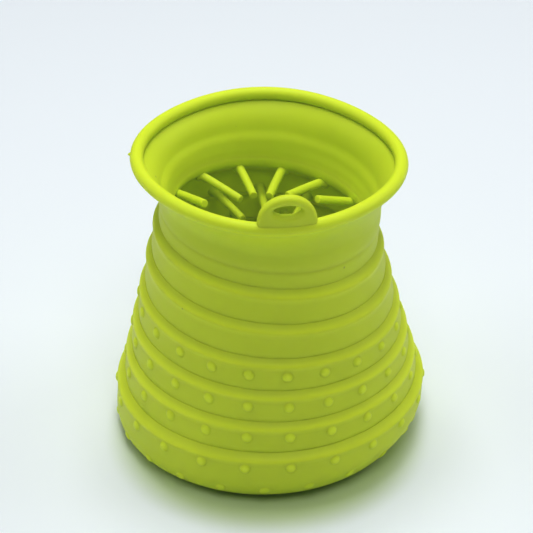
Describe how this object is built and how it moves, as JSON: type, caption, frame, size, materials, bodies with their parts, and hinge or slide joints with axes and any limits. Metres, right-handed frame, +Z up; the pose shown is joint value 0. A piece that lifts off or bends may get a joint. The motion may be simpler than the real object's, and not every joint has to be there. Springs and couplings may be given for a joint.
{
  "type": "paw washer cup",
  "caption": "Collapsible silicone cup with a flared rim, hang tab, stepped folding rings, outside nubs and inward bristles, for washing a pet's paw.",
  "frame": {"origin": "on the cup's axis, in the plane that the foot stands on", "axes": "+Z up along the axis towards the mouth; the hang tab stands on the rim at -Y"},
  "size_m": [0.1142, 0.1152, 0.1236],
  "materials": {
    "silicone": "satin lime-green silicone"
  },
  "bodies": {
    "base_body": {"base_bowl": "silicone", "fold_web_6": "silicone", "bristles_base": "silicone", "nubs_base_upper": "silicone", "nubs_base_lower": "silicone"},
    "ring_5_body": {"ring_5": "silicone", "fold_web_5": "silicone", "bristles_ring_5": "silicone", "nubs_ring_5": "silicone"},
    "ring_4_body": {"ring_4": "silicone", "fold_web_4": "silicone", "bristles_ring_4": "silicone", "nubs_ring_4": "silicone"},
    "ring_3_body": {"ring_3": "silicone", "fold_web_3": "silicone", "bristles_ring_3": "silicone", "nubs_ring_3": "silicone"},
    "ring_2_body": {"ring_2": "silicone", "fold_web_2": "silicone", "bristles_ring_2": "silicone"},
    "ring_1_body": {"ring_1": "silicone", "fold_web_1": "silicone", "bristles_ring_1": "silicone"},
    "collar_body": {"rim_bead": "silicone", "hang_tab": "silicone", "collar": "silicone", "neck_band": "silicone", "bristles_neck": "silicone"}
  },
  "joints": [
    {"name": "fold_6", "type": "slide", "parent": "base_body", "child": "ring_5_body", "axis": [0, 0, 1], "range_m": [-0.00765, 0], "deforming": ["fold_web_6"]},
    {"name": "fold_5", "type": "slide", "parent": "ring_5_body", "child": "ring_4_body", "axis": [0, 0, 1], "range_m": [-0.00585, 0], "deforming": ["fold_web_5"]},
    {"name": "fold_4", "type": "slide", "parent": "ring_4_body", "child": "ring_3_body", "axis": [0, 0, 1], "range_m": [-0.00615, 0], "deforming": ["fold_web_4"]},
    {"name": "fold_3", "type": "slide", "parent": "ring_3_body", "child": "ring_2_body", "axis": [0, 0, 1], "range_m": [-0.00675, 0], "deforming": ["fold_web_3"]},
    {"name": "fold_2", "type": "slide", "parent": "ring_2_body", "child": "ring_1_body", "axis": [0, 0, 1], "range_m": [-0.00765, 0], "deforming": ["fold_web_2"]},
    {"name": "fold_1", "type": "slide", "parent": "ring_1_body", "child": "collar_body", "axis": [0, 0, 1], "range_m": [-0.00785, 0], "deforming": ["fold_web_1"]}
  ]
}
